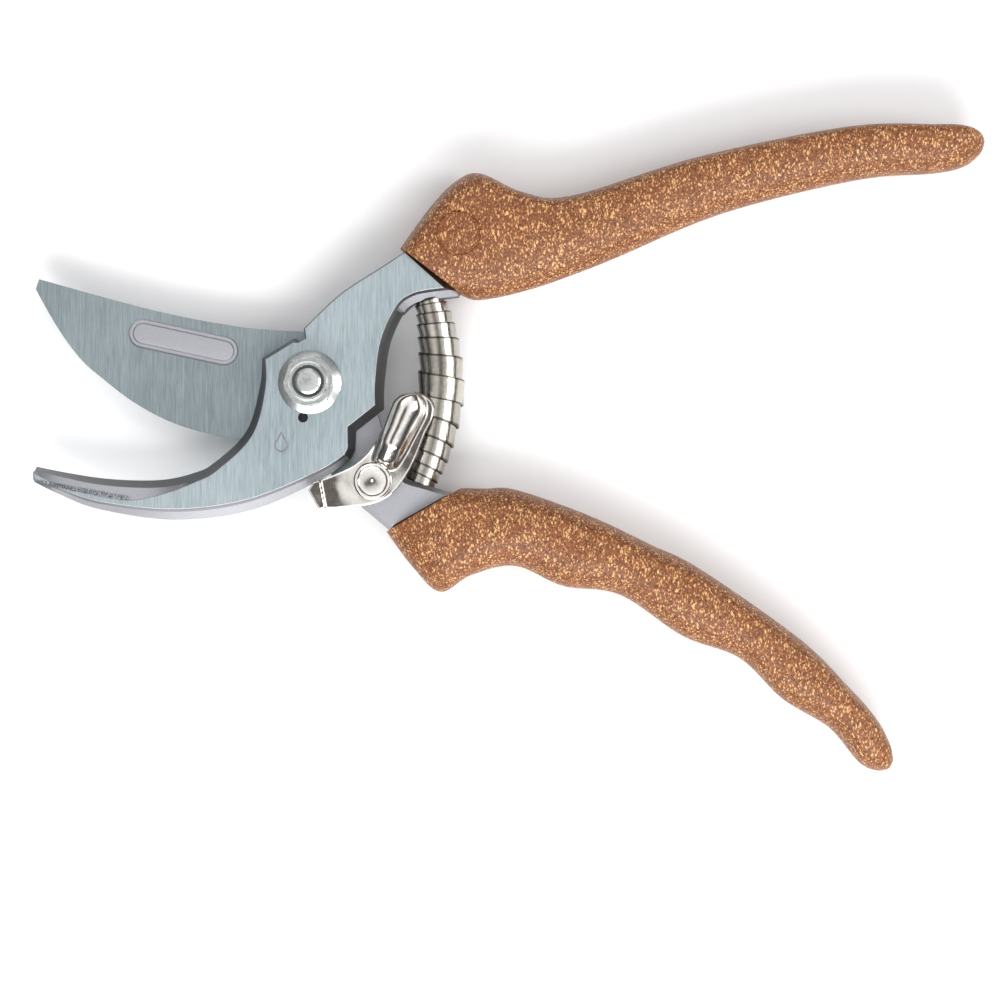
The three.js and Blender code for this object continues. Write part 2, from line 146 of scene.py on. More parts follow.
class Tree:
    """A node tree that is filled by calls."""

    def __init__(self, nodes):
        self.nodes = nodes

    def add(self, kind, settings=None, *inputs, **named):
        """Makes a node and returns its outputs as values."""
        node = self.nodes.nodes.new(kind)
        for key, value in (settings or {}).items():
            if key == "stops":
                fill_ramp(node.color_ramp, value)
            else:
                setattr(node, key, value)
        for key, value in [*enumerate(inputs), *named.items()]:
            slot = node.inputs[key.replace("_", " ") if isinstance(key, str) else key]
            if isinstance(value, Value):
                self.nodes.links.new(value.socket, slot)
            else:
                slot.default_value = value
        return [Value(self, s) for s in node.outputs]

    def smooth(self, value, low, high):
        """0 below low, 1 above high and an even turn between them."""
        settings = {"interpolation_type": "SMOOTHSTEP"}
        return self.add("ShaderNodeMapRange", settings, value, low, high)[0]

    def mix(self, factor, a, b):
        """Colour a where the factor is 0 and colour b where it is 1."""
        node = self.nodes.nodes.new("ShaderNodeMix")
        node.data_type = "RGBA"
        for socket, value in zip([node.inputs[0], *node.inputs[6:8]], (factor, a, b)):
            if isinstance(value, Value):
                self.nodes.links.new(value.socket, socket)
            else:
                socket.default_value = value
        return Value(self, node.outputs[2])


def fill_ramp(ramp, stops):
    """Gives a colour ramp these (place, colour) stops."""
    while len(ramp.elements) < len(stops):
        ramp.elements.new(1)
    for element, (place, color) in zip(ramp.elements, stops):
        element.position = place
        element.color = color


def rgb(red, green, blue):
    return (red, green, blue, 1)


# %% [markdown]
# ## Studio sky
# The sky is a ramp by height: dim walls, a bright ceiling and one small dark patch right
# above the tool, which gives level polished faces their dark side. The lens itself sees
# an even pale grey instead.

# %% World: bright overhead, darker walls
world = bpy.data.worlds.new("studio")
bpy.context.scene.world = world
world.use_nodes = True
world.node_tree.nodes.clear()
sky = Tree(world.node_tree)
direction = sky.add("ShaderNodeTexCoord")[0]
height = sky.add("ShaderNodeSeparateXYZ", None, direction)[2]
glow = sky.add(
    "ShaderNodeValToRGB",
    {
        "stops": [
            (0, rgb(0.35, 0.35, 0.35)),
            (0.25, rgb(0.04, 0.04, 0.045)),
            (0.52, rgb(0.16, 0.16, 0.165)),
            (0.74, rgb(0.8, 0.8, 0.82)),
            (0.91, rgb(1.25, 1.25, 1.27)),
            (0.965, rgb(0.9, 0.9, 0.9)),
            (0.994, rgb(0.14, 0.13, 0.12)),
        ]
    },
    height,
)[0]
seen = sky.mix(sky.add("ShaderNodeLightPath")[0], glow, rgb(0.93, 0.93, 0.93))
background = sky.add("ShaderNodeBackground", None, seen, 1.0)[0]
sky.add("ShaderNodeOutputWorld", None, background)
print("sky nodes:", len(sky.nodes.nodes))

# %% [markdown]
# ## Finishes
# Every pattern reads Object coordinates in metres, so a grain of 0.4 mm is a scale of
# about 2500 whatever piece it lands on.


# %% One maker for all finishes
def finish(name, metallic, recipe, **fixed):
    """A Principled material whose colour, roughness and height come from a recipe."""
    material = bpy.data.materials.new(name)
    material.use_nodes = True
    material.node_tree.nodes.clear()
    tree = Tree(material.node_tree)
    place = tree.add("ShaderNodeTexCoord")[3]
    normal = tree.add("ShaderNodeTexCoord")[1]
    color, roughness, relief, depth = recipe(tree, place, normal)
    bump = tree.add("ShaderNodeBump", None, Strength=1.0, Distance=depth, Height=relief)[0]
    shader = tree.add(
        "ShaderNodeBsdfPrincipled",
        None,
        Base_Color=color,
        Roughness=roughness,
        Metallic=metallic,
        Normal=bump,
        **fixed,
    )[0]
    tree.add("ShaderNodeOutputMaterial", None, shader)
    return material


def noise(tree, place, scale, detail, roughness=0.5):
    found = tree.add(
        "ShaderNodeTexNoise", None, Vector=place, Scale=scale, Detail=detail, Roughness=roughness
    )
    return found[0]


def distance(tree, place, spot):
    """How far a place lies from an upright line through a spot in millimetres."""
    x, y, _ = tree.add("ShaderNodeSeparateXYZ", None, place)
    x, y = x - spot[0] * MM, y - spot[1] * MM
    return (x * x + y * y).math("SQRT")


def stretched(tree, place, turn, squeeze):
    """Coordinates turned about Z and squeezed along Y, for streaks that run along Y."""
    return tree.add(
        "ShaderNodeMapping",
        None,
        Vector=place,
        Rotation=(0, 0, math.radians(turn)),
        Scale=(1, squeeze, 1),
    )[0]


# %% [markdown]
# ## Steel
# Forged levers are blasted all over and then ground on their flat faces, so the level and
# the slope of a face say which finish it has. Long thin noise makes the belt's scratches.
# A pocket behind the belt's reach stays forged, and so does a thin line near the tip.
# Steep forged walls are painted darker than sloping ones, and level faces deep below the
# front, such as the oil hole's floor, are painted near black: both are painted shade.


# %% Ground steel with forged edges
def steel(front, light, pocket=None, skin_line=None):
    """Belt-ground front and back; `pocket` is (x, y, radius) of a circle left as forged."""

    def recipe(tree, place, normal):
        facing = tree.add("ShaderNodeSeparateXYZ", None, normal)[2]
        level = tree.add("ShaderNodeSeparateXYZ", None, place)[2]
        off_front = (level - front * MM).math("ABSOLUTE")
        front_face = tree.smooth(facing, 0.96, 0.99) * (1 - tree.smooth(off_front, 2e-5, 8e-5))
        ground_face = (front_face + tree.smooth(facing * -1, 0.5, 0.6)).math("MINIMUM", 1.0)
        if pocket:
            out = distance(tree, place, pocket[:2])
            ground_face = ground_face * tree.smooth(out, pocket[2] * MM, (pocket[2] + 0.6) * MM)
        grain = stretched(tree, place, -6, 0.03)
        fine = noise(tree, grain, 8200, 3, 0.7)
        streak = noise(tree, grain, 2600, 2)
        cloud = noise(tree, place, 45, 2)
        tone = fine * 0.55 + streak * 0.3 + cloud * 0.3
        dark = rgb(0.215 * light, 0.262 * light, 0.28 * light)
        bright = rgb(0.42 * light, 0.48 * light, 0.50 * light)
        ground = tree.mix(tree.smooth(tone, 0.34, 0.80), dark, bright)
        grit = noise(tree, place, 3600, 3, 0.6)
        sloped = tree.mix(grit, rgb(0.325, 0.33, 0.352), rgb(0.525, 0.53, 0.562))
        # Painted shade: steep walls take a darker copy of the forged colour than sloping faces.
        steep_shade = tree.mix(grit, rgb(0.125, 0.127, 0.13), rgb(0.25, 0.253, 0.26))
        wall = tree.smooth(facing.math("ABSOLUTE"), 0.44, 0.60)
        forged = tree.mix(wall, steep_shade, sloped)
        color = tree.mix(ground_face, forged, ground)
        # Painted shade: level faces more than 1 to 1.8 mm below the front, such as the oil hole's
        # floor, go near black.
        recess_shade = tree.smooth(front * MM - level, 0.001, 0.0018) * tree.smooth(facing, 0.9, 0.96)
        color = tree.mix(recess_shade, color, rgb(0.09, 0.093, 0.097))
        if skin_line:
            x, y, _ = tree.add("ShaderNodeSeparateXYZ", None, place)
            (x0, y0), (x1, y1) = np.array(skin_line) * MM
            off = (y - y0 - (x - x0) * ((y1 - y0) / (x1 - x0))).math("ABSOLUTE")
            reach = tree.smooth(x, x0 - 0.002, x0) * (1 - tree.smooth(x, x1 - 0.002, x1))
            speck = tree.smooth(noise(tree, place, 4200, 2), 0.42, 0.56)
            left_rough = (1 - tree.smooth(off, 0.0003, 0.0008)) * reach * speck
            color = tree.mix(left_rough * 0.85, color, rgb(0.035, 0.036, 0.04))
        roughness = 0.5 - ground_face * 0.14 + fine * ground_face * 0.14
        relief = fine * ground_face * 0.7 + grit * (1 - ground_face)
        return color, roughness, relief, 0.000022

    return recipe


# %% [markdown]
# ## Cork compound
# Granules of cork and wood are pressed with a brown binder. Cells of four sizes, each lying
# its own way, give pale chips; a fifth set gives dark gaps. The plug over the moulding gate
# is a little darker than the grip round it.

# %% Cork compound
PLUG_PLACE = (32.2, 32.2)
PLUG_RADIUS = 4.7


def flakes(tree, place, turn, scale, share):
    """Long chips that lie one way: 1 on a chip, 0 between them, and each chip's own shade."""
    laid = stretched(tree, place, turn, 0.5)
    cells = tree.add("ShaderNodeTexVoronoi", None, Vector=laid, Scale=scale, Randomness=1.0)
    lot, shade, _ = tree.add("ShaderNodeSeparateColor", None, cells[1])[:3]
    chosen = tree.smooth(lot, 1 - share, 1 - share + 0.02)
    body = 1 - tree.smooth(cells[0], 0.30, 0.48)
    return chosen * body, shade


# The turn, the scale and the share of each set of chips
CHIPS = ((20, 2000, 0.24), (75, 2500, 0.24), (-40, 1700, 0.18), (-10, 3800, 0.28))


def cork_compound(tree, place, normal):
    """Chips of cork and wood in a brown binder, moulded and lightly polished."""
    wander = tree.add("ShaderNodeTexNoise", None, Vector=place, Scale=1500.0, Detail=2.0)[1]
    shifted = tree.add(
        "ShaderNodeVectorMath",
        {"operation": "MULTIPLY_ADD"},
        wander,
        (0.0004, 0.0004, 0.0004),
        place,
    )[0]
    dust = noise(tree, place, 5200, 3, 0.7)
    patches = noise(tree, place, 90, 2)
    lumps = noise(tree, place, 1900, 2, 0.6)
    grain = dust * 0.5 + lumps * 0.5
    light_share = tree.smooth(grain, 0.34, 0.66)
    binder = tree.mix(light_share, rgb(0.075, 0.022, 0.009), rgb(0.34, 0.12, 0.042))
    color = tree.mix(tree.smooth(patches, 0.35, 0.75) * 0.3, binder, rgb(0.20, 0.07, 0.028))
    raised = dust * 0.4
    for turn, scale, share in CHIPS:
        chip, shade = flakes(tree, shifted, turn, float(scale), share)
        tint = tree.mix(shade, rgb(0.50, 0.23, 0.07), rgb(0.88, 0.54, 0.25))
        color = tree.mix(chip * 0.85, color, tint)
        raised = raised + chip * 0.3
    gap, shade = flakes(tree, shifted, 50, 2400.0, 0.42)
    color = tree.mix(gap * 0.7, color, rgb(0.07, 0.025, 0.011))
    level = tree.add("ShaderNodeSeparateXYZ", None, place)[2]
    out = distance(tree, place, PLUG_PLACE)
    inside = 1 - tree.smooth(out, (PLUG_RADIUS - 0.2) * MM, PLUG_RADIUS * MM)
    plug = inside * tree.smooth(level, 0.010, 0.012)
    color = tree.mix(plug * 0.25, color, rgb(0.16, 0.04, 0.012))
    return color, 0.38 + dust * 0.2, raised - gap * 0.5, 0.00004


# %% [markdown]
# ## Plated and plain small parts
# Nickel on a tumbled casting mirrors with a slight wave. The spring's strip has rolling
# lines and painted shadow along its edges, zinc is paler and duller, and the hidden washers
# are oiled steel.


# %% Plated parts
def nickel(tree, place, normal):
    """Bright nickel over a tumbled casting, so it mirrors but isn't quite even."""
    wave = noise(tree, place, 150, 1)
    smear = noise(tree, place, 1500, 3)
    color = tree.mix(smear, rgb(0.70, 0.66, 0.61), rgb(0.88, 0.85, 0.81))
    return color, 0.06 + smear * 0.12, wave + smear * 0.02, 0.0005


def spring_nickel(tree, place, normal):
    """Rolled strip: bright, with fine lines along it and painted shadow along both edges, where a
    turn ends.
    """
    strip_place = tree.add("ShaderNodeAttribute", {"attribute_name": "strip"})[1]
    along, across, _ = tree.add("ShaderNodeSeparateXYZ", None, strip_place)
    rim = tree.smooth((across - 0.5).math("ABSOLUTE"), 0.41, 0.465)
    turn_tone = tree.add("ShaderNodeTexNoise", {"noise_dimensions": "1D"}, W=along, Scale=31.0)[0]
    smear = noise(tree, place, 900, 3)
    lines = noise(tree, stretched(tree, place, 90, 0.08), 4200, 2)
    tone = (smear * 0.5 + turn_tone * 0.9 - 0.2).math("MAXIMUM", 0.0)
    color = tree.mix(tone, rgb(0.22, 0.2, 0.17), rgb(0.68, 0.65, 0.585))
    # Painted shadow: both edges of the strip go dark, as the shade beside the step where one turn
    # ends on the next.
    color = tree.mix(rim * 0.85, color, rgb(0.05, 0.047, 0.04))
    return color, 0.12 + lines * 0.16, lines, 0.00002


def zinc(tree, place, normal):
    """Bright zinc plate with the pale spangle of a bolt from the shelf."""
    spangle = noise(tree, place, 1600, 3)
    bloom = noise(tree, place, 320, 2)
    color = tree.mix(bloom * 0.7 + spangle * 0.3, rgb(0.66, 0.69, 0.68), rgb(0.88, 0.91, 0.90))
    return color, 0.22 + spangle * 0.14, spangle, 0.000004


def oiled_steel(tree, place, normal):
    """Spring steel blued by its heat treatment, with a film of oil."""
    film = noise(tree, place, 700, 2)
    color = tree.mix(film, rgb(0.02, 0.021, 0.024), rgb(0.06, 0.06, 0.065))
    return color, 0.35 + film * 0.2, film, 0.00001


def nylon(tree, place, normal):
    grain = noise(tree, place, 2400, 2)
    color = tree.mix(grain, rgb(0.05, 0.055, 0.06), rgb(0.10, 0.105, 0.11))
    return color, 0.5 + grain * 0.2, grain, 0.00002


def bronze(tree, place, normal):
    grain = noise(tree, place, 1800, 2)
    color = tree.mix(grain, rgb(0.42, 0.26, 0.10), rgb(0.62, 0.42, 0.2))
    return color, 0.3 + grain * 0.2, grain, 0.00002


HOOK_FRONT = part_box("hook_lever")[1].z / MM
SHEAR = 8.5  # height of the plane in which hook and blade slide
HIDDEN_POCKET = (12.5, -10.5, 7)
SKIN_LINE = ((-58.6, -21.7), (-38.2, -25.4))  # where the grinding missed the forging's skin
FINISHES = {
    "hook_steel": finish("hook_steel", 1.0, steel(HOOK_FRONT, 1.34, None, SKIN_LINE)),
    "blade_steel": finish("blade_steel", 1.0, steel(SHEAR, 0.95, HIDDEN_POCKET)),
    "cork_compound": finish("cork_compound", 0.0, cork_compound, Specular_IOR_Level=0.35),
    "nickel_plate": finish("nickel_plate", 1.0, nickel),
    "zinc_plate": finish("zinc_plate", 1.0, zinc),
    "nylon": finish("nylon", 0.0, nylon),
    "bronze": finish("bronze", 1.0, bronze),
}
SPRING_FINISH = finish("spring_nickel", 1.0, spring_nickel)
WASHER_FINISH = finish("oiled_steel", 1.0, oiled_steel)
print("finishes:", ", ".join(FINISHES))


# %% [markdown]
# ## Tools for outlines
# A forging is an outline with sloping edges. Each point of an outline carries, after its
# place, how far the sloping edge comes in at two heights, so one list draws both the
# silhouette and the flat face inside it.


# %% Curves and insets
def bend(points, steps=10):
    """A smooth run through points of any number of values."""
    p = np.array(points, float)
    found = []
    for i in range(len(p) - 1):
        a, b, c, d = p[max(i - 1, 0)], p[i], p[i + 1], p[min(i + 2, len(p) - 1)]
        for t in np.arange(steps) / steps:
            curve = (c - a) * t + (2 * a - 5 * b + 4 * c - d) * t**2
            found.append(b + (curve + (3 * b - a - 3 * c + d) * t**3) / 2)
    return [*found, p[-1]]


def outline(*runs):
    """One closed outline from runs of points, without the points that two runs share."""
    kept = []
    for point in (np.array(p, float) for run in runs for p in run):
        if not kept or np.hypot(*(point[:2] - kept[-1][:2])) > 0.05:
            kept.append(point)
    return np.array(kept)


def inward(points):
    """The unit direction into the outline at each point, lengthened at its corners."""
    xy = points[:, :2]
    edge = np.roll(xy, -1, axis=0) - xy
    edge /= np.linalg.norm(edge, axis=1)[:, None]
    x, y = xy.T
    turn = np.sign(np.sum(x * np.roll(y, -1) - np.roll(x, -1) * y))
    side = np.stack([-edge[:, 1], edge[:, 0]], axis=1) * turn
    both = side + np.roll(side, 1, axis=0)
    both /= np.linalg.norm(both, axis=1)[:, None]
    reach = np.clip(np.sum(both * side, axis=1), 0.6, 1)
    return both / reach[:, None]


def face_outwards(bm):
    """Turns every face of a closed mesh outwards."""
    bmesh.ops.recalc_face_normals(bm, faces=bm.faces)
    if bm.calc_volume(signed=True) < 0:
        bmesh.ops.reverse_faces(bm, faces=bm.faces)


def untangle(flat):
    """Where an inset outline crosses itself, the loop beyond the crossing shrinks to it."""
    count = len(flat)
    start, end = flat, np.roll(flat, -1, axis=0)

    def side(p, q, r):
        ahead, across = q - p, r - p
        return ahead[..., 0] * across[..., 1] - ahead[..., 1] * across[..., 0]

    a, b, c, d = start[:, None], end[:, None], start[None], end[None]
    crossed = (side(a, b, c) * side(a, b, d) < -1e-12) & (side(c, d, a) * side(c, d, b) < -1e-12)
    tidy = flat.copy()
    for i, j in zip(*np.nonzero(np.triu(crossed))):
        near, far = side(start[j], end[j], start[i]), side(start[j], end[j], end[i])
        meeting = start[i] + (end[i] - start[i]) * near / (near - far)
        loop = np.arange(i + 1, j + 1)
        if len(loop) > count / 2:
            loop = np.arange(j + 1, i + 1 + count) % count
        tidy[loop] = meeting
    return tidy


def new_piece(name, vertices, faces, finish_name):
    """A mesh in millimetres as an object in metres."""
    mesh = bpy.data.meshes.new(name)
    mesh.from_pydata([Vector(v) * MM for v in vertices], [], faces)
    mesh.materials.append(FINISHES[finish_name])
    bm = bmesh.new()
    bm.from_mesh(mesh)
    bmesh.ops.remove_doubles(bm, verts=bm.verts, dist=1e-6)
    face_outwards(bm)
    bm.to_mesh(mesh)
    bm.free()
    piece = bpy.data.objects.new(name, mesh)
    bpy.context.scene.collection.objects.link(piece)
    return piece


def skin(name, rings, finish_name):
    """A closed skin over rings of equal length, with a flat face on each end."""
    count = len(rings[0])
    vertices = [p for ring in rings for p in ring]
    faces = [tuple(range(count))]
    faces.append(tuple(range(len(vertices) - count, len(vertices))))
    for r in range(len(rings) - 1):
        for i in range(count):
            j = (i + 1) % count
            faces.append(tuple(r * count + k for k in (i, j, j + count, i + count)))
    return new_piece(name, vertices, faces, finish_name)


def forging(name, points, levels, finish_name="blade_steel"):
    """A plate from an outline. A level is a height, a column of insets and one more inset."""
    into = inward(points)
    rings = []
    for level, column, more in levels:
        inset = points[:, column][:, None] if column else 0
        flat = untangle(points[:, :2] + into * (inset + more))
        rings.append([(x, y, level) for x, y in flat])
    return skin(name, rings, finish_name)


def block(name, points, back, front, finish_name="blade_steel"):
    """A plate with square edges."""
    return forging(name, points, [(back, 0, 0), (front, 0, 0)], finish_name)


def broken(level, column, turn, up):
    """Three levels that round an edge: up is 1 at a front face and -1 at a back face."""
    rise = turn * up
    rings = [
        (level - rise, column, -turn * 0.1 if column else 0),
        (level - rise * 0.3, column, turn * 0.3),
        (level, column, turn),
    ]
    return rings if up > 0 else rings[::-1]


def steepness(share, run):
    """Adds the inset where a wall starts to lean: a share of the inset at its top."""
    return [(x, y, share * wall, wall, flat) for x, y, wall, flat in run]


# %% Finishing a mesh
def plain(piece):
    """Turns what the modifiers show into the piece's own mesh."""
    graph = bpy.context.evaluated_depsgraph_get()
    mesh = bpy.data.meshes.new_from_object(piece.evaluated_get(graph))
    piece.modifiers.clear()
    piece.data = mesh
    return piece


def cut(piece, *tools, how="DIFFERENCE"):
    """Joins tools to the piece or cuts them from it, and removes them."""
    for tool in tools:
        modifier = piece.modifiers.new("cut", "BOOLEAN")
        modifier.operation = how
        modifier.object = tool
        modifier.solver = "MANIFOLD"
        plain(piece)
        bpy.data.objects.remove(tool)
    return piece


def ease(piece, width, angle, segments, shade=32):
    """Breaks the sharp edges, as tumbling and wear do."""
    bevel = piece.modifiers.new("ease", "BEVEL")
    bevel.width = width * MM
    bevel.segments = segments
    bevel.limit_method = "ANGLE"
    bevel.angle_limit = math.radians(angle)
    bevel.use_clamp_overlap = True
    plain(piece)
    smooth(piece, shade)
    return piece


def smooth(piece, angle=32):
    for face in piece.data.polygons:
        face.use_smooth = True
    piece.data.set_sharp_from_angle(angle=math.radians(angle))


def seat(piece, body, slot, *nodes):
    """The piece rides on a body and stands for CAD nodes; the slot is not used."""
    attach(piece, body)
    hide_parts(*nodes)
    print(piece.name, "faces:", len(piece.data.polygons))


AXIS = 0  # the radius of a profile's points on the axis


def turned(name, profile, place, finish_name, sides=96):
    """A lathe-turned piece about Z from (radius, height) points that close on the axis."""
    rings = []
    for radius, level in profile:
        angles = [2 * math.pi * k / sides for k in range(sides)]
        spot = [(math.cos(a) * radius, math.sin(a) * radius) for a in angles]
        rings.append([(place[0] + x, place[1] + y, level) for x, y in spot])
    return skin(name, rings, finish_name)


ABOVE_ALL = 30


def drill(name, radius, floor, place=(0, 0), finish_name="zinc_plate", sides=96):
    """A round cutter that comes down from above everything to a floor."""
    profile = [(AXIS, floor), (radius, floor), (radius, ABOVE_ALL), (AXIS, ABOVE_ALL)]
    return turned(name, profile, place, finish_name, sides)


def slot_outline(start, end, radius, sides=24):
    """A slot with round ends."""
    along = math.atan2(end[1] - start[1], end[0] - start[0])
    points = []
    for centre, first in ((end, along - math.pi / 2), (start, along + math.pi / 2)):
        for k in range(sides + 1):
            a = first + math.pi * k / sides
            points.append((centre[0] + radius * math.cos(a), centre[1] + radius * math.sin(a)))
    return outline(points)


# %% [markdown]
# ## Hook lever
# One steel forging: the hooked counter blade, the eye and the neck. Its front is ground
# flat and the rest keeps the slope that the forging die needs. Near the tip the flat
# narrows to a ridge with a hollow beside it, where sap runs off.

# %% Heights of the stack, from the frame
blade_low, blade_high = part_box("blade_lever")
hook_low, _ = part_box("hook_lever")
bush_low, bush_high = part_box("pivot_bush")
BLADE_BACK = blade_low.z / MM
NECK_BACK = hook_low.z / MM
ARM_TOP = blade_high.z / MM
BORE = (bush_high.x - bush_low.x) / 2 / MM + 0.1
TANG_BACK, TANG_FRONT = 6.2, 11.2
print("hook front, mm:", round(HOOK_FRONT, 2), " blade back, mm:", round(BLADE_BACK, 2))

# %% Hook outline: x, y, inset of the wall's top, inset of the flat face
THROAT = bend(
    [
        (-60.0, -18.2, 0.7, 1.3),
        (-53.5, -19.5, 1.1, 3.0),
        (-46, -20.7, 1.4, 3.8),
        (-38.5, -21.2, 1.6, 4.3),
        (-31.8, -21, 1.7, 3.1),
        (-26, -19.7, 1.8, 2.2),
        (-21.4, -17.5, 1.8, 2.0),
        (-14.2, -10.5, 1.7, 1.9),
        (-11.3, -1.1, 1.4, 1.6),
        (-10.7, 5.5, 0.8, 1.0),
    ]
)
SHOULDER = [
    (-10.7, 5.5, 0.8, 1.0),
    (-3.6, 9.8, 0.8, 1.0),
    (-2.6, 9.0, 0.3, 0.4),
    (-1.3, 9.7, 0.3, 0.4),
    (-1.7, 11.8, 0.3, 0.5),
]
NECK_OUTER = bend(
    [(-1.7, 11.8, 0.3, 0.5), (6.3, 19.4, 0.3, 0.55), (15, 25.1, 0.3, 0.55), (19.6, 28.1, 0.3, 0.5)]
)
NECK_INNER = bend(
    [
        (32.2, 18.9, 1.4, 1.9),
        (25.9, 18.1, 1.5, 2.0),
        (22.5, 17.2, 1.5, 2.0),
        (20.1, 15, 1.5, 2.0),
        (17.2, 8.3, 1.5, 2.0),
        (16, -0.4, 1.5, 1.9),
        (15.9, -5.7, 1.3, 1.7),
    ]
)
NOTCH = [(9.8, -10.5, 1.3, 1.7), (9.6, -14.6, 1.0, 1.4)]
BELLY = bend(
    [
        (8.6, -16.6, 1.0, 1.4),
        (2, -21.1, 1.3, 1.8),
        (-13.3, -27.7, 1.7, 2.3),
        (-29.6, -29.8, 1.7, 2.3),
        (-46, -27.5, 1.2, 1.7),
        (-55, -24.1, 0.9, 1.2),
        (-60.1, -21.6, 0.5, 0.8),
    ]
)
HOOK_TIP = [(-60.55, -20.9, 0.4, 0.7), (-60.58, -19.4, 0.4, 0.7)]

NECK_END = [(20.6, 28.8, 0.3, 0.5), (32.6, 20.1, 1.4, 1.9)]
half = len(NECK_INNER) // 2
hook_outline = outline(
    steepness(0.66, THROAT),
    steepness(0.66, SHOULDER),
    steepness(0.3, NECK_OUTER),
    steepness(0.3, NECK_END),
    steepness(0.0, NECK_INNER[:half]),
    steepness(0.5, NECK_INNER[half:]),
    steepness(0.66, NOTCH),
    steepness(0.0, BELLY),
    steepness(0.3, HOOK_TIP),
)
hook = forging(
    "hook_forging",
    hook_outline,
    [
        *broken(SHEAR + 0.1, 0, 0.2, -1),
        (HOOK_FRONT - 2.3, 2, 0),
        (HOOK_FRONT - 1.0, 3, 0),
        *broken(HOOK_FRONT, 4, 0.12, 1),
    ],
    "hook_steel",
)
neck = forging(
    "neck_back",
    outline(
        bend([(32.2, 18.9), (25.9, 18.1), (22.5, 17.2), (20.1, 15)]),
        [(10, 21.9)],
        bend([(10, 21.9), (15, 25.1), (19.6, 28.1)]),
        [(20.6, 28.8), (32.6, 20.1)],
    ),
    [*broken(NECK_BACK, 0, 0.4, -1), (SHEAR + 0.6, 0, 0)],
    "hook_steel",
)
tang_points = outline([(21, 28), (31, 38), (41, 30), (31, 20)])
tang = block("tang", tang_points, TANG_BACK, TANG_FRONT, "hook_steel")
cut(hook, neck, tang, how="UNION")

# %% [markdown]
# ## Holes and engraving of the hook lever
# Drilling comes after grinding, so a bore, a blind oil hole and the outline of a drop are
# cut from the finished forging.

# %% Pivot bore, oil hole and an engraved drop
OIL_HOLE = (-1.5, -7.6)
DROP = (-6.2, -13.6)
bore = drill("bore", BORE, 0)
oil_hole = drill("oil_hole", 1.1, HOOK_FRONT - 2.2, OIL_HOLE, "hook_steel", 32)


def drop_outline(place, radius, height):
    """A drop of oil: round below, drawn to a point above."""
    points = []
    for k in range(40):
        a = 2 * math.pi * k / 40
        pull = max(0, math.sin(a)) ** 3
        x = radius * math.cos(a) * (1 - 0.75 * pull)
        y = radius * math.sin(a) + (height - radius) * pull
        points.append((place[0] + x, place[1] + y))
    return outline(points)


outer_drop = block("drop", drop_outline(DROP, 1.5, 3.1), HOOK_FRONT - 0.35, 20)
inner_drop = block("core", drop_outline(DROP, 1.15, 2.3), HOOK_FRONT - 1, 21)
cut(outer_drop, inner_drop)
cut(hook, bore, oil_hole, outer_drop)
smooth(hook, 13)
seat(hook, "hook_side", "ground_steel", "hook_lever")

# %% [markdown]
# ## Blade lever
# The cutting blade is flat on the face that slides on the hook and hollow-ground on its
# back, so the edge lies in the shear plane. Behind the pivot the forging gets thicker and
# becomes the neck that carries the latch and runs into the lower grip.

# %% Blade outline: x, y, inset of the back face where the edge is ground
GRIND = 6.5
EDGE = bend(
    [
        (-60.3, 20.6, 0.7),
        (-58, 16.4, 2.4),
        (-54.7, 10.9, 4.2),
        (-50.4, 5.2, 5.6),
        (-46, 1.3, GRIND),
        (-39.5, -3.7, GRIND),
        (-32.9, -7.5, GRIND),
        (-26.4, -10, GRIND),
        (-20.9, -11.3, 5.0),
        (-15.5, -12.3, 0),
    ]
)
HEEL = bend([(-15.5, -12.3, 0), (-5.7, -14, 0), (3.1, -19, 0), (11.3, -27.2, 0), (16.6, -31.6, 0)])
ARM_INNER = bend(
    [(30.3, -23.8, 0), (24.9, -22.2, 0), (20.5, -20.7, 0), (17.7, -17.2, 0), (14.6, -7.2, 0)]
)
HEAD = bend([(14.6, -7.2, 0), (11.8, 0.7, 0), (5.9, 9.4, 0), (-1.7, 11.3, 0)])
SPINE = bend([(-1.7, 11.3, 0), (-15.5, 12.3, 0), (-35.1, 16.1, 0), (-59.6, 22.8, 0)])
ARM_END = [(17.5, -32.4, 0), (30.8, -24.9, 0)]
blade_outline = outline(EDGE, HEEL, ARM_END, ARM_INNER, HEAD, SPINE)
EDGE_LAND = 0.3
blade = forging(
    "blade_forging",
    blade_outline,
    [(BLADE_BACK, 2, 0.1), (BLADE_BACK + 0.1, 2, 0), (SHEAR - EDGE_LAND, 0, 0), (SHEAR, 0, 0.05)],
)

# %% [markdown]
# ## Neck of the blade lever
# The neck stands higher than the blade, to bring the latch in front of the hook. It's a
# second outline with the latch's boss, joined to the first.

# %% Raised neck under the latch
RIVET_PLACE = tuple(((a + b) / 2 / MM) for a, b in list(zip(*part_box("latch_rivet")))[:2])
raised = forging(
    "neck_front",
    outline(
        [(9.6, -23.8, 0.5), (11.3, -27.2, 0.9)],
        [(16.6, -31.6, 0.9), (17.5, -32.4, 0.9), (30.8, -24.9, 0.9), (30.3, -23.8, 0.9)],
        bend([(30.3, -23.8, 0.9), (24.9, -22.2, 0.9), (20.5, -20.7, 0.9), (17.7, -17.2, 0.9)]),
    ),
    [(SHEAR - 0.6, 0, 0), (ARM_TOP - 1.2, 0, 0), *broken(ARM_TOP, 2, 0.15, 1)],
)
tang_points = outline([(19, -31), (30, -40), (38, -30), (29, -24.5)])
tang = block("tang", tang_points, TANG_BACK, TANG_FRONT)
boss_profile = [(AXIS, SHEAR - 0.6), (4.8, SHEAR - 0.6), (4.8, ARM_TOP), (AXIS, ARM_TOP)]
boss = turned("boss", boss_profile, RIVET_PLACE, "blade_steel", 64)
cut(blade, raised, boss, tang, how="UNION")

# %% [markdown]
# ## Panel of the blade
# The die leaves a sunk field with a raised floor. It's cut as a slot with sloping walls,
# from which a lower rib has been taken first.

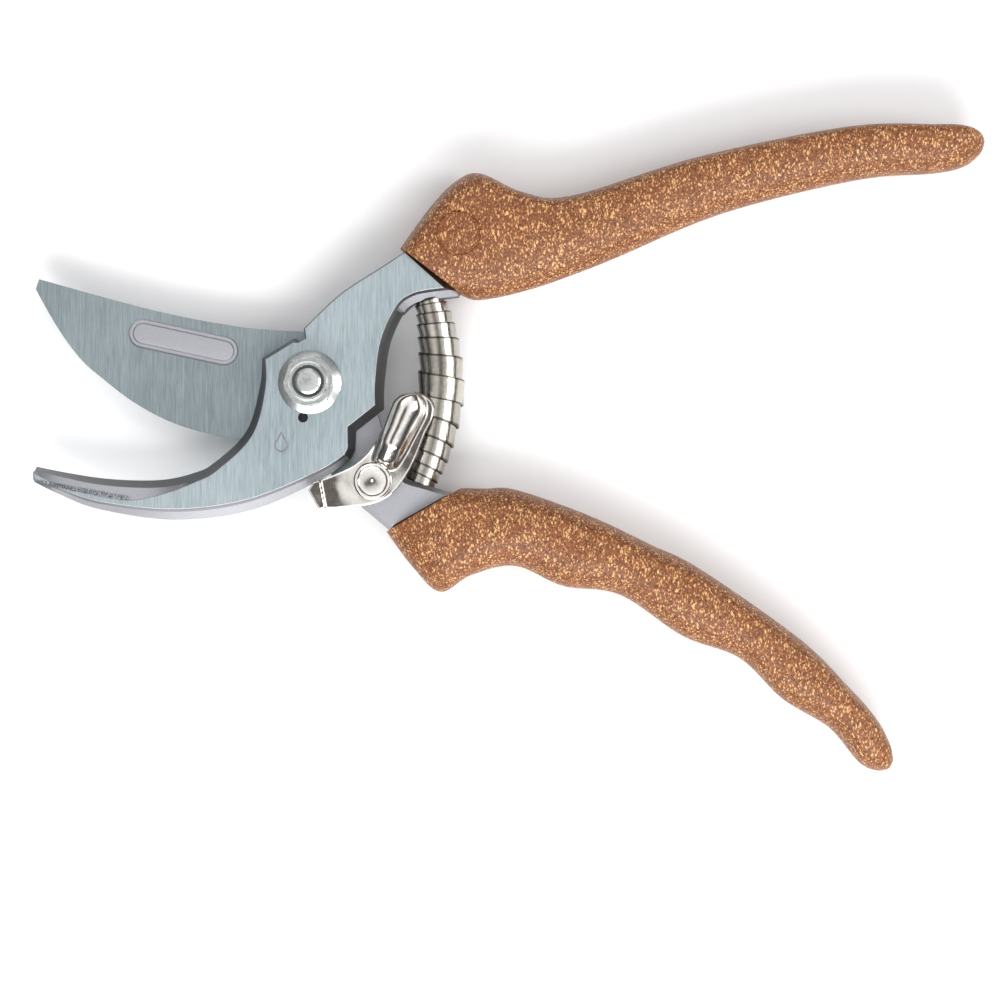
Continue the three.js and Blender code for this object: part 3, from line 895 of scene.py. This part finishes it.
# %% Bores and the stamped panel
PANEL = ((-36.8, 10.9), (-19.2, 7.1))
bore = drill("bore", BORE, 0)
panel_points = slot_outline(*PANEL, 3.25)
panel_points = np.column_stack([panel_points, np.full(len(panel_points), 0.35)])
panel = forging("panel", panel_points, [(SHEAR - 0.5, 2, 0), (SHEAR, 0, 0), (SHEAR + 3, 0, 0)])
rib_levels = [
    (SHEAR - 2, 0, 0),
    (SHEAR - 0.5, 0, 0),
    (SHEAR - 0.16, 0, 0.3),
    (SHEAR - 0.12, 0, 0.6),
]
rib = forging("rib", slot_outline(*PANEL, 2.35), rib_levels)
cut(panel, rib)
cut(blade, bore, panel)
smooth(blade, 13)
seat(blade, "blade_side", "ground_steel", "blade_lever")

# %% [markdown]
# ## Grips
# Each grip is moulded round its tang: a full oval at the mouth, a swell for the heel of
# the hand and a tapering tail. Rounded sections are spread between a back line and a
# belly line, so the silhouette is exact and the thickness follows its own rule.

# %% Grip sections
grip_low, grip_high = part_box("upper_grip")
GRIP_MIDDLE = (grip_low.z + grip_high.z) / 2 / MM
GRIP_HALF = (grip_high.z - grip_low.z) / 2 / MM

UPPER_BACK = [
    (19.4, 29.4),
    (25.8, 38.2),
    (31.4, 44),
    (36.8, 45.8),
    (46.2, 41.7),
    (57, 41),
    (84.8, 49.5),
    (117.1, 56),
    (136, 56.5),
    (142.5, 56.2),
    (145.8, 54.8),
    (147, 52.9),
]
UPPER_BELLY = [
    (32.9, 19.2),
    (36, 18.2),
    (42, 19),
    (49.5, 21),
    (56.9, 23.6),
    (66.3, 27.3),
    (89.8, 37.1),
    (119, 44.4),
    (136, 45.9),
    (142.5, 47.3),
    (146, 50),
    (147, 52.5),
]
LOWER_BACK = [
    (32.7, -22.9),
    (38, -23),
    (43.4, -23),
    (52.5, -25.8),
    (63, -29.9),
    (74, -35.2),
    (84.8, -40.5),
    (106.6, -55.8),
    (117.5, -66.5),
    (123.2, -73),
    (126.2, -78.4),
    (127.1, -82.2),
]
LOWER_BELLY = [
    (16.4, -32.4),
    (22, -40),
    (28.1, -45.6),
    (35, -41.9),
    (44.5, -39.9),
    (55, -44.3),
    (67.4, -46.2),
    (81.1, -55.2),
    (93.5, -60),
    (103, -69),
    (113.1, -75.2),
    (119.4, -82.6),
    (123, -84.5),
    (125.8, -84.3),
    (126.9, -82.8),
]


def along(points, share):
    """The place on a smooth line at a share of its points."""
    fine = np.array(bend(points, 24))
    at = share * (len(fine) - 1)
    i = min(int(at), len(fine) - 2)
    return fine[i] + (fine[i + 1] - fine[i]) * (at - i)


END_ROUNDING = 8
SQUARE_ACROSS, SQUARE_UP = 0.8, 0.95  # 1 is a true oval and less is squarer
TAPER = 0.22


def grip(name, back, belly, crest, stations=180, sides=72):
    """A moulded grip with full, slightly squared oval sections."""
    back, belly = np.array(back), np.array(belly)
    rings = []
    for i in range(stations + 1):
        t = i / stations
        a, b = along(back, t), along(belly, t)
        left = np.hypot(*((a + b - back[-1] - belly[-1]) / 2))
        tail = math.sqrt(max(0, 1 - max(0, 1 - left / END_ROUNDING) ** 2))
        mouth = min(1, 0.86 + (t / 0.06) * 0.14)
        half = GRIP_HALF * mouth * (1 - TAPER * t) * max(tail, 0.12)
        ring = []
        for k in range(sides):
            turn = 2 * math.pi * k / sides
            c, s = math.cos(turn), math.sin(turn)
            across = math.copysign(abs(c) ** SQUARE_ACROSS, c)
            up = math.copysign(abs(s) ** SQUARE_UP, s)
            x, y = a + (b - a) * ((1 - across) / 2 + crest * max(0, up) * (1 - across**2))
            ring.append((x, y, GRIP_MIDDLE + half * up))
        rings.append(ring)
    piece = skin(name, rings, "cork_compound")
    ease(piece, 0.7, 40, 4)
    return piece


upper = grip("upper_cork_grip", UPPER_BACK, UPPER_BELLY, -0.2)
lower = grip("lower_cork_grip", LOWER_BACK, LOWER_BELLY, -0.1)

# %% [markdown]
# ## Plug of the upper grip
# A round plug closes the place where the grip was filled, and only its joint shows. A thin
# ring that follows the grip's own surface is cut out of it.

# %% Ring of the moulding plug, cut into the upper grip
GROOVE_HALF = 0.32


def surface_ring(piece, place, radius, half, steps=96):
    """A thin ring that lies along the piece's upper surface."""
    mesh = piece.data
    corners = [v.co for v in mesh.vertices]
    tree = bvhtree.BVHTree.FromPolygons(corners, [tuple(p.vertices) for p in mesh.polygons])
    diamond = [(half, 0), (0, half), (-half, 0), (0, -half)]
    vertices = []
    for k in range(steps):
        turn = 2 * math.pi * k / steps
        spot = Vector((math.cos(turn), math.sin(turn), 0))
        above = (Vector((*place, 40)) + spot * radius) * MM
        level = tree.ray_cast(above, (0, 0, -1))[0].z / MM
        for out, up in diamond:
            at = spot * (radius + out)
            vertices.append((place[0] + at.x, place[1] + at.y, level + up))
    faces = []
    for k in range(steps):
        a, b = 4 * k, 4 * ((k + 1) % steps)
        faces += [(a + i, a + (i + 1) % 4, b + (i + 1) % 4, b + i) for i in range(4)]
    return new_piece("ring", vertices, faces, "cork_compound")


cut(upper, surface_ring(upper, PLUG_PLACE, PLUG_RADIUS, GROOVE_HALF))
smooth(upper)
seat(upper, "hook_side", "cork_compound", "upper_grip")
seat(lower, "blade_side", "cork_compound", "lower_grip")

# %% [markdown]
# ## Pivot
# A flange nut is a hexagon whose corners a cone has turned off, on a round skirt. The
# bolt's end stands a thread or two proud of the nut's locking collar.

# %% Nut
NUT_BACK = nut_low.z / MM
NUT_TOP = nut_high.z / MM
FLANGE = (nut_high.x - nut_low.x) / 2 / MM
HEX = 10 / 2 / math.cos(math.pi / 6)
hexagon = [(HEX * math.cos(a), HEX * math.sin(a)) for a in np.arange(6) * math.pi / 3 + 0.22]
nut = block("flange_nut", outline(hexagon), NUT_BACK + 0.8, NUT_TOP - 0.7, "zinc_plate")
cone_profile = [
    (AXIS, NUT_BACK),
    (HEX + 2, NUT_BACK),
    (HEX + 2, NUT_TOP - 2.2),
    (5.3, NUT_TOP - 0.7),
    (AXIS, NUT_TOP - 0.7),
]
cut(nut, turned("cone", cone_profile, (0, 0), "zinc_plate"), how="INTERSECT")
skirt_profile = [
    (AXIS, NUT_BACK),
    (FLANGE - 0.2, NUT_BACK),
    (FLANGE, NUT_BACK + 0.25),
    (FLANGE, NUT_BACK + 0.75),
    (FLANGE - 0.3, NUT_BACK + 0.95),
    (5.3, NUT_BACK + 1.62),
    (AXIS, NUT_BACK + 1.62),
]
collar_profile = [
    (AXIS, NUT_TOP - 1.4),
    (4.35, NUT_TOP - 1.4),
    (4.35, NUT_TOP - 0.4),
    (4.0, NUT_TOP),
    (AXIS, NUT_TOP),
]
skirt = turned("skirt", skirt_profile, (0, 0), "zinc_plate")
collar = turned("collar", collar_profile, (0, 0), "zinc_plate")
cut(nut, skirt, collar, how="UNION")
cut(nut, drill("nut_bore", 3.1, 0), drill("recess", 3.5, NUT_TOP - 1.1))
ease(nut, 0.12, 20, 1, 6)
seat(nut, "hook_side", "zinc_plate", "pivot_nut")

# %% [markdown]
# ## Bolt
# It's turned from its domed head to the end that stands in the nut. Its thread is hidden.

# %% Bolt
bolt_low, bolt_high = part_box("pivot_bolt")
BOLT_TOP = bolt_high.z / MM
HEAD_RADIUS = (bolt_high.x - bolt_low.x) / 2 / MM
bolt_profile = [
    (AXIS, 0),
    (HEAD_RADIUS - 1.4, 0),
    (HEAD_RADIUS - 0.4, 0.5),
    (HEAD_RADIUS, 1.3),
    (HEAD_RADIUS, 2.4),
    (HEAD_RADIUS - 0.2, 2.6),
    (3, 2.6),
    (3, BOLT_TOP - 0.7),
    (2.75, BOLT_TOP - 0.25),
    (2.3, BOLT_TOP),
    (1.0, BOLT_TOP - 0.12),
    (AXIS, BOLT_TOP - 0.15),
]
bolt = turned("pivot_screw", bolt_profile, (0, 0), "zinc_plate")
smooth(bolt, 24)
seat(bolt, "hook_side", "zinc_plate", "pivot_bolt")

# %% [markdown]
# ## Latch
# A small casting: a plate that turns on its rivet, a lip that drops into the hook's notch
# and a thumb bar that grows out of the plate. A casting has no sharp inner corners, so the
# rough shapes are joined, remeshed finely and smoothed until they flow into each other.

# %% Latch casting
latch_low, latch_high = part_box("latch_lever")
rivet_low, rivet_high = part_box("latch_rivet")
PLATE_BACK = 13.7
PLATE_FRONT = PLATE_BACK + 1.6
BAR_TOP = latch_high.z / MM
LIP_BACK = latch_low.z / MM
RIVET_RADIUS = (rivet_high.x - rivet_low.x) / 2 / MM
HEAD_ROOM = RIVET_RADIUS + 0.15

plate_outline = outline(
    bend(
        [
            (0.9, -21.6),
            (5, -20.1),
            (9.6, -17.9),
            (13, -14.8),
            (15.5, -10.5),
            (17, -7.5),
            (19.2, -3.9),
            (22.7, -2),
            (26.4, -4.2),
            (26.6, -7.6),
            (24.9, -11.3),
            (22.7, -16.8),
            (20.4, -21.1),
            (17.7, -24.4),
            (13.6, -26.4),
            (8, -27.1),
            (2, -27.5),
        ]
    ),
    [(-0.3, -23.4)],
)
latch = block("thumb_latch", plate_outline, PLATE_BACK, PLATE_FRONT, "nickel_plate")
print("latch plate, mm:", round(PLATE_BACK, 2), "to", round(PLATE_FRONT, 2))


# %% Thumb bar
def thumb_bar():
    """Arched sections from the rivet to the bar's end, with the crest left of the middle."""
    start, end = np.array([16.0, -18.7]), np.array([23.3, -2.6])
    ahead = (end - start) / np.linalg.norm(end - start)
    right = np.array([ahead[1], -ahead[0]])
    rings = []
    for t in np.linspace(0, 1, 40):
        close = math.sqrt(max(0.0, 1 - max(0, (t - 0.76) / 0.24) ** 2))
        climb = min(1, t / 0.3)
        rise = (BAR_TOP - PLATE_BACK) * (0.3 + 0.7 * climb**0.7 * (0.55 + 0.45 * close))
        width = (3.1 + 1.0 * t) * max(close, 0.15)
        centre = start + (end - start) * t
        ring = []
        for k in range(33):
            a = math.pi * k / 32
            crest = math.sin(a) ** 0.85
            x, y = centre + right * width * (math.cos(a) - 0.22 * crest)
            ring.append((x, y, PLATE_BACK + 0.3 + (rise - 0.3) * crest))
        rings.append(ring)
    return skin("bar", rings, "nickel_plate")


# %% Lip, rim and the joined casting
LIP = [(1, -25.5), (2.2, -25.1), (3.1, -27.2), (1.7, -27.5)]
lip = block("lip", outline(LIP), LIP_BACK, PLATE_FRONT - 0.2, "nickel_plate")
RIM = [(-0.3, -23.4), (0.9, -21.6), (2.3, -21.2), (3.4, -27.3), (2, -27.5)]
rim = block("rim", outline(RIM), PLATE_BACK, PLATE_FRONT + 0.7, "nickel_plate")
cut(latch, thumb_bar(), lip, rim, how="UNION")
remesh = latch.modifiers.new("remesh", "REMESH")
remesh.mode = "VOXEL"
remesh.voxel_size = 0.2 * MM
soften = latch.modifiers.new("soften", "SMOOTH")
soften.factor = 0.5
soften.iterations = 5
plain(latch)
latch.data.materials.clear()
latch.data.materials.append(FINISHES["nickel_plate"])
SWELL_FROM, SWELL_TO, SWELL = 3.0, 8.5, 0.5
for vertex in latch.data.vertices:  # the plate thins gently away from its rivet
    x, y, z = vertex.co / MM
    away = np.hypot(x - RIVET_PLACE[0], y - RIVET_PLACE[1])
    away = np.clip((away - SWELL_FROM) / (SWELL_TO - SWELL_FROM), 0, 1)
    front_share = np.clip((z - PLATE_BACK - 0.5) / 0.8, 0, 1) * np.clip(PLATE_FRONT + 1.5 - z, 0, 1)
    vertex.co.z -= SWELL * MM * away**2 * (3 - 2 * away) * front_share
rivet_bore_profile = [
    (AXIS, 0),
    (2.1, 0),
    (2.1, PLATE_FRONT + 0.02),
    (HEAD_ROOM, PLATE_FRONT + 0.02),
    (HEAD_ROOM, ABOVE_ALL),
    (AXIS, ABOVE_ALL),
]
cut(latch, turned("rivet_bore", rivet_bore_profile, RIVET_PLACE, "nickel_plate", 48))
smooth(latch, 60)
seat(latch, "latch", "nickel_plate", "latch_lever")

# %% [markdown]
# ## Rivet of the latch
# The head is faced on a lathe, so its shallow dimple keeps fine rings.

# %% Rivet with a turned dimple
RIVET_TOP = rivet_high.z / MM
RIVET_BACK = rivet_low.z / MM
HEAD_BACK = PLATE_FRONT + 0.1
rivet_profile = [
    (AXIS, RIVET_BACK),
    (2.6, RIVET_BACK),
    (3.2, RIVET_BACK + 0.35),
    (3.4, BLADE_BACK - 0.1),
    (2, BLADE_BACK - 0.1),
    (2, HEAD_BACK),
    (RIVET_RADIUS - 0.3, HEAD_BACK),
    (RIVET_RADIUS, HEAD_BACK + 0.5),
    (RIVET_RADIUS - 0.05, RIVET_TOP - 0.6),
    (RIVET_RADIUS - 0.4, RIVET_TOP - 0.1),
    (RIVET_RADIUS - 0.8, RIVET_TOP),
]
DIMPLE = 0.75
for ring in range(9):
    radius = (RIVET_RADIUS - 1.0) * (1 - ring / 9)
    depth = DIMPLE * (1 - (radius / RIVET_RADIUS) ** 2)
    groove = 0.05 if ring % 2 else 0
    rivet_profile.append((radius, RIVET_TOP - depth - groove))
rivet_profile.append((AXIS, RIVET_TOP - DIMPLE - 0.25))
rivet = turned("latch_pin", rivet_profile, RIVET_PLACE, "nickel_plate")
smooth(rivet, 40)
seat(rivet, "blade_side", "nickel_plate", "latch_rivet")

# %% [markdown]
# ## Volute spring
# One strip of steel is wound as two cones that meet at their wide ends, so each turn can
# slide inside the next one. That is a rule, so a Geometry Nodes tree makes it: a long flat
# grid is one strip, and each point's place on the strip gives its turn, its radius and its
# height on the spring's bowed centre line.

# %% The strip as Geometry Nodes
SPRING_TOP = (25.8, 18.2)
SPRING_BOTTOM = (23.7, -22.0)
SPRING_BULGE = (31.7, -2.0)
SPRING_HEIGHT = 8.6
SPRING_TURNS = 13
TURN_STEPS = 56
SPRING_SIZES = {
    "End radius": 3.0 * MM,
    "Middle radius": 5.1 * MM,
    "Lap": 0.6,
    "Tuck": 0.42 * MM,
    "Crowding": 0.42,
}


def spring_tree(turns):
    """A strip wound as a double cone about a bowed line in the plane of the levers."""
    nodes = bpy.data.node_groups.new("volute_strip", "GeometryNodeTree")
    nodes.interface.new_socket("Strip", in_out="OUTPUT", socket_type="NodeSocketGeometry")
    for name in SPRING_SIZES:
        nodes.interface.new_socket(name, in_out="INPUT", socket_type="NodeSocketFloat")
    tree = Tree(nodes)
    end_radius, middle_radius, lap, tuck, crowding = tree.add("NodeGroupInput")[:5]
    grid = tree.add(
        "GeometryNodeMeshGrid",
        None,
        Size_X=1.0,
        Size_Y=1.0,
        Vertices_X=turns * TURN_STEPS + 1,
        Vertices_Y=4,
    )
    x, y, _ = tree.add(
        "ShaderNodeSeparateXYZ", None, tree.add("GeometryNodeInputPosition")[0]
    )
    share = x + 0.5  # 0 at the upper end of the strip, 1 at the lower end
    from_middle = (share * 2 - 1).math("ABSOLUTE")
    radius = middle_radius + (end_radius - middle_radius) * from_middle
    angle = share * (2 * math.pi * turns)
    reach = (from_middle * turns * 0.5).math("MINIMUM", 1.0) * lap
    towards = (0.5 - share).math("SIGN")
    radius = radius - (y * towards + 0.5) * tuck
    climb = ((share * turns - 0.8) / (turns - 1.6)).math("MAXIMUM", 0.0).math("MINIMUM", 1.0)
    round_trip = climb * (2 * math.pi)
    climb = climb - crowding * round_trip.math("SINE") / (2 * math.pi)
    shown = (1 - crowding * round_trip.math("COSINE")) * 1.1  # turns stand closer at the ends
    end_shown = (1 - crowding) * 1.1
    width = (shown + reach) / turns
    middle = climb * (1 - end_shown / turns) + end_shown * 0.5 / turns
    level = middle + y * width + towards * reach * 0.5 / turns
    rest = 1 - level
    weights = [rest * rest, level * rest * 2, level * level]
    line = [SPRING_TOP, SPRING_BULGE, SPRING_BOTTOM]
    centre = [sum(w * (p[i] * MM) for w, p in zip(weights, line)) for i in (0, 1)]
    slope = [
        rest * (2 * MM * (line[1][i] - line[0][i])) + level * (2 * MM * (line[2][i] - line[1][i]))
        for i in (0, 1)
    ]
    length = (slope[0] * slope[0] + slope[1] * slope[1]).math("SQRT")
    out = radius * angle.math("COSINE")
    place = tree.add(
        "ShaderNodeCombineXYZ",
        None,
        centre[0] + out * slope[1] / length,
        centre[1] - out * slope[0] / length,
        radius * angle.math("SINE") + SPRING_HEIGHT * MM,
    )[0]
    settings = {"data_type": "FLOAT_VECTOR", "domain": "CORNER"}
    named = tree.add(
        "GeometryNodeStoreNamedAttribute", settings, Geometry=grid[0], Name="strip", Value=grid[1]
    )[0]
    moved = tree.add("GeometryNodeSetPosition", None, Geometry=named, Position=place)[0]
    real = tree.add("GeometryNodeRealizeInstances", None, moved)[0]
    painted = tree.add("GeometryNodeSetMaterial", None, Geometry=real, Material=SPRING_FINISH)
    tree.add("NodeGroupOutput", None, painted[0])
    return nodes


strip_mesh = bpy.data.meshes.new("volute_strip")
strip = bpy.data.objects.new("volute_strip", strip_mesh)
bpy.context.scene.collection.objects.link(strip)
wind = strip.modifiers.new("wind", "NODES")
wind.node_group = spring_tree(SPRING_TURNS)
for item in wind.node_group.interface.items_tree:
    if item.in_out == "INPUT":
        wind[item.identifier] = SPRING_SIZES[item.name]
gauge = strip.modifiers.new("gauge", "SOLIDIFY")
gauge.thickness = 0.3 * MM
gauge.offset = 0
plain(strip)
smooth(strip, 40)
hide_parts("volute_spring")
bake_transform(strip)
print("strip turns:", SPRING_TURNS, " faces:", len(strip.data.polygons))

# %% [markdown]
# ## Small parts that keep their CAD shape
# Washers, pins and the bush are plain turned parts, so they only need their finishes.

# %% Finishes for the CAD nodes
SMALL_PARTS = {
    "nut_lock_ring": "nylon",
    "pivot_spring_washer": "zinc_plate",
    "pivot_bush": "bronze",
    "latch_spring_washer": "zinc_plate",
    "upper_spring_pin": "zinc_plate",
    "lower_spring_pin": "zinc_plate",
}
for node, finish_name in SMALL_PARTS.items():
    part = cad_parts[node]
    part.data.materials.clear()
    sprung = node.endswith("spring_washer")
    part.data.materials.append(WASHER_FINISH if sprung else FINISHES[finish_name])
print("CAD parts kept:", ", ".join(SMALL_PARTS))


# %% [markdown]
# ## Floor
# A pale matt sheet, just under the bolt's head.

# %% Floor sheet
def paper(tree, place, normal):
    fibre = noise(tree, place, 400, 2)
    color = tree.mix(fibre, rgb(0.93, 0.93, 0.93), rgb(0.96, 0.96, 0.96))
    return color, 0.9 + fibre * 0.05, fibre, 0.00001


HALF_FLOOR = 2000
corners = [(-1, -1), (1, -1), (1, 1), (-1, 1)]
FINISHES["paper"] = finish("paper", 0.0, paper, Specular_IOR_Level=0.0)
floor = new_piece(
    "floor",
    [(x * HALF_FLOOR, y * HALF_FLOOR, -0.05) for x, y in corners],
    [(0, 1, 2, 3)],
    "paper",
)
print("floor width, m:", 2 * HALF_FLOOR * MM)
